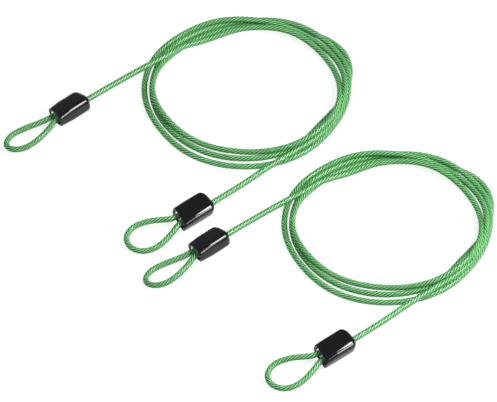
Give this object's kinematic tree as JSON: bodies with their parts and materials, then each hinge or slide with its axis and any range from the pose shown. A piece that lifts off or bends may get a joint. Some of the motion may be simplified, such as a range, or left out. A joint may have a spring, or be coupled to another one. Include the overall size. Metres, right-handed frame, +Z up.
{
  "type": "looped security cable",
  "caption": "Pair of green PVC-coated wire-rope security cables, loosely coiled, each with a crimped eye and a black sleeve at both ends, for a padlock on luggage.",
  "frame": {"origin": "on the surface the cables lie on, under the middle of the pair", "axes": "+Z up from that surface; +Y from the second coil towards the first, along the longest side of the pair; the eyes lie towards -X"},
  "size_m": [0.2886, 0.3005, 0.012],
  "materials": {
    "pvc_jacket": "clear green PVC over wire strands, glossy",
    "black_plastic": "glossy moulded black",
    "aluminium": "crimped, plain",
    "steel_wire": "galvanised strands"
  },
  "bodies": {
    "cable_a": {"cable_a_coil": "pvc_jacket", "cable_a_sleeve_1": "black_plastic", "cable_a_ferrule_1": "aluminium", "cable_a_eye_jacket_1": "pvc_jacket", "cable_a_eye_wire_1": "steel_wire", "cable_a_lead_jacket_1": "pvc_jacket", "cable_a_lead_wire_1": "steel_wire", "cable_a_sleeve_2": "black_plastic", "cable_a_ferrule_2": "aluminium", "cable_a_eye_jacket_2": "pvc_jacket", "cable_a_eye_wire_2": "steel_wire", "cable_a_lead_jacket_2": "pvc_jacket", "cable_a_lead_wire_2": "steel_wire"},
    "cable_b": {"cable_b_coil": "pvc_jacket", "cable_b_sleeve_1": "black_plastic", "cable_b_ferrule_1": "aluminium", "cable_b_eye_jacket_1": "pvc_jacket", "cable_b_eye_wire_1": "steel_wire", "cable_b_lead_jacket_1": "pvc_jacket", "cable_b_lead_wire_1": "steel_wire", "cable_b_sleeve_2": "black_plastic", "cable_b_ferrule_2": "aluminium", "cable_b_eye_jacket_2": "pvc_jacket", "cable_b_eye_wire_2": "steel_wire", "cable_b_lead_jacket_2": "pvc_jacket", "cable_b_lead_wire_2": "steel_wire"}
  },
  "joints": [
    {"name": "cable_b_lift", "type": "slide", "parent": "cable_a", "child": "cable_b", "axis": [0, 0, 1], "range_m": [0, 0.08]}
  ]
}
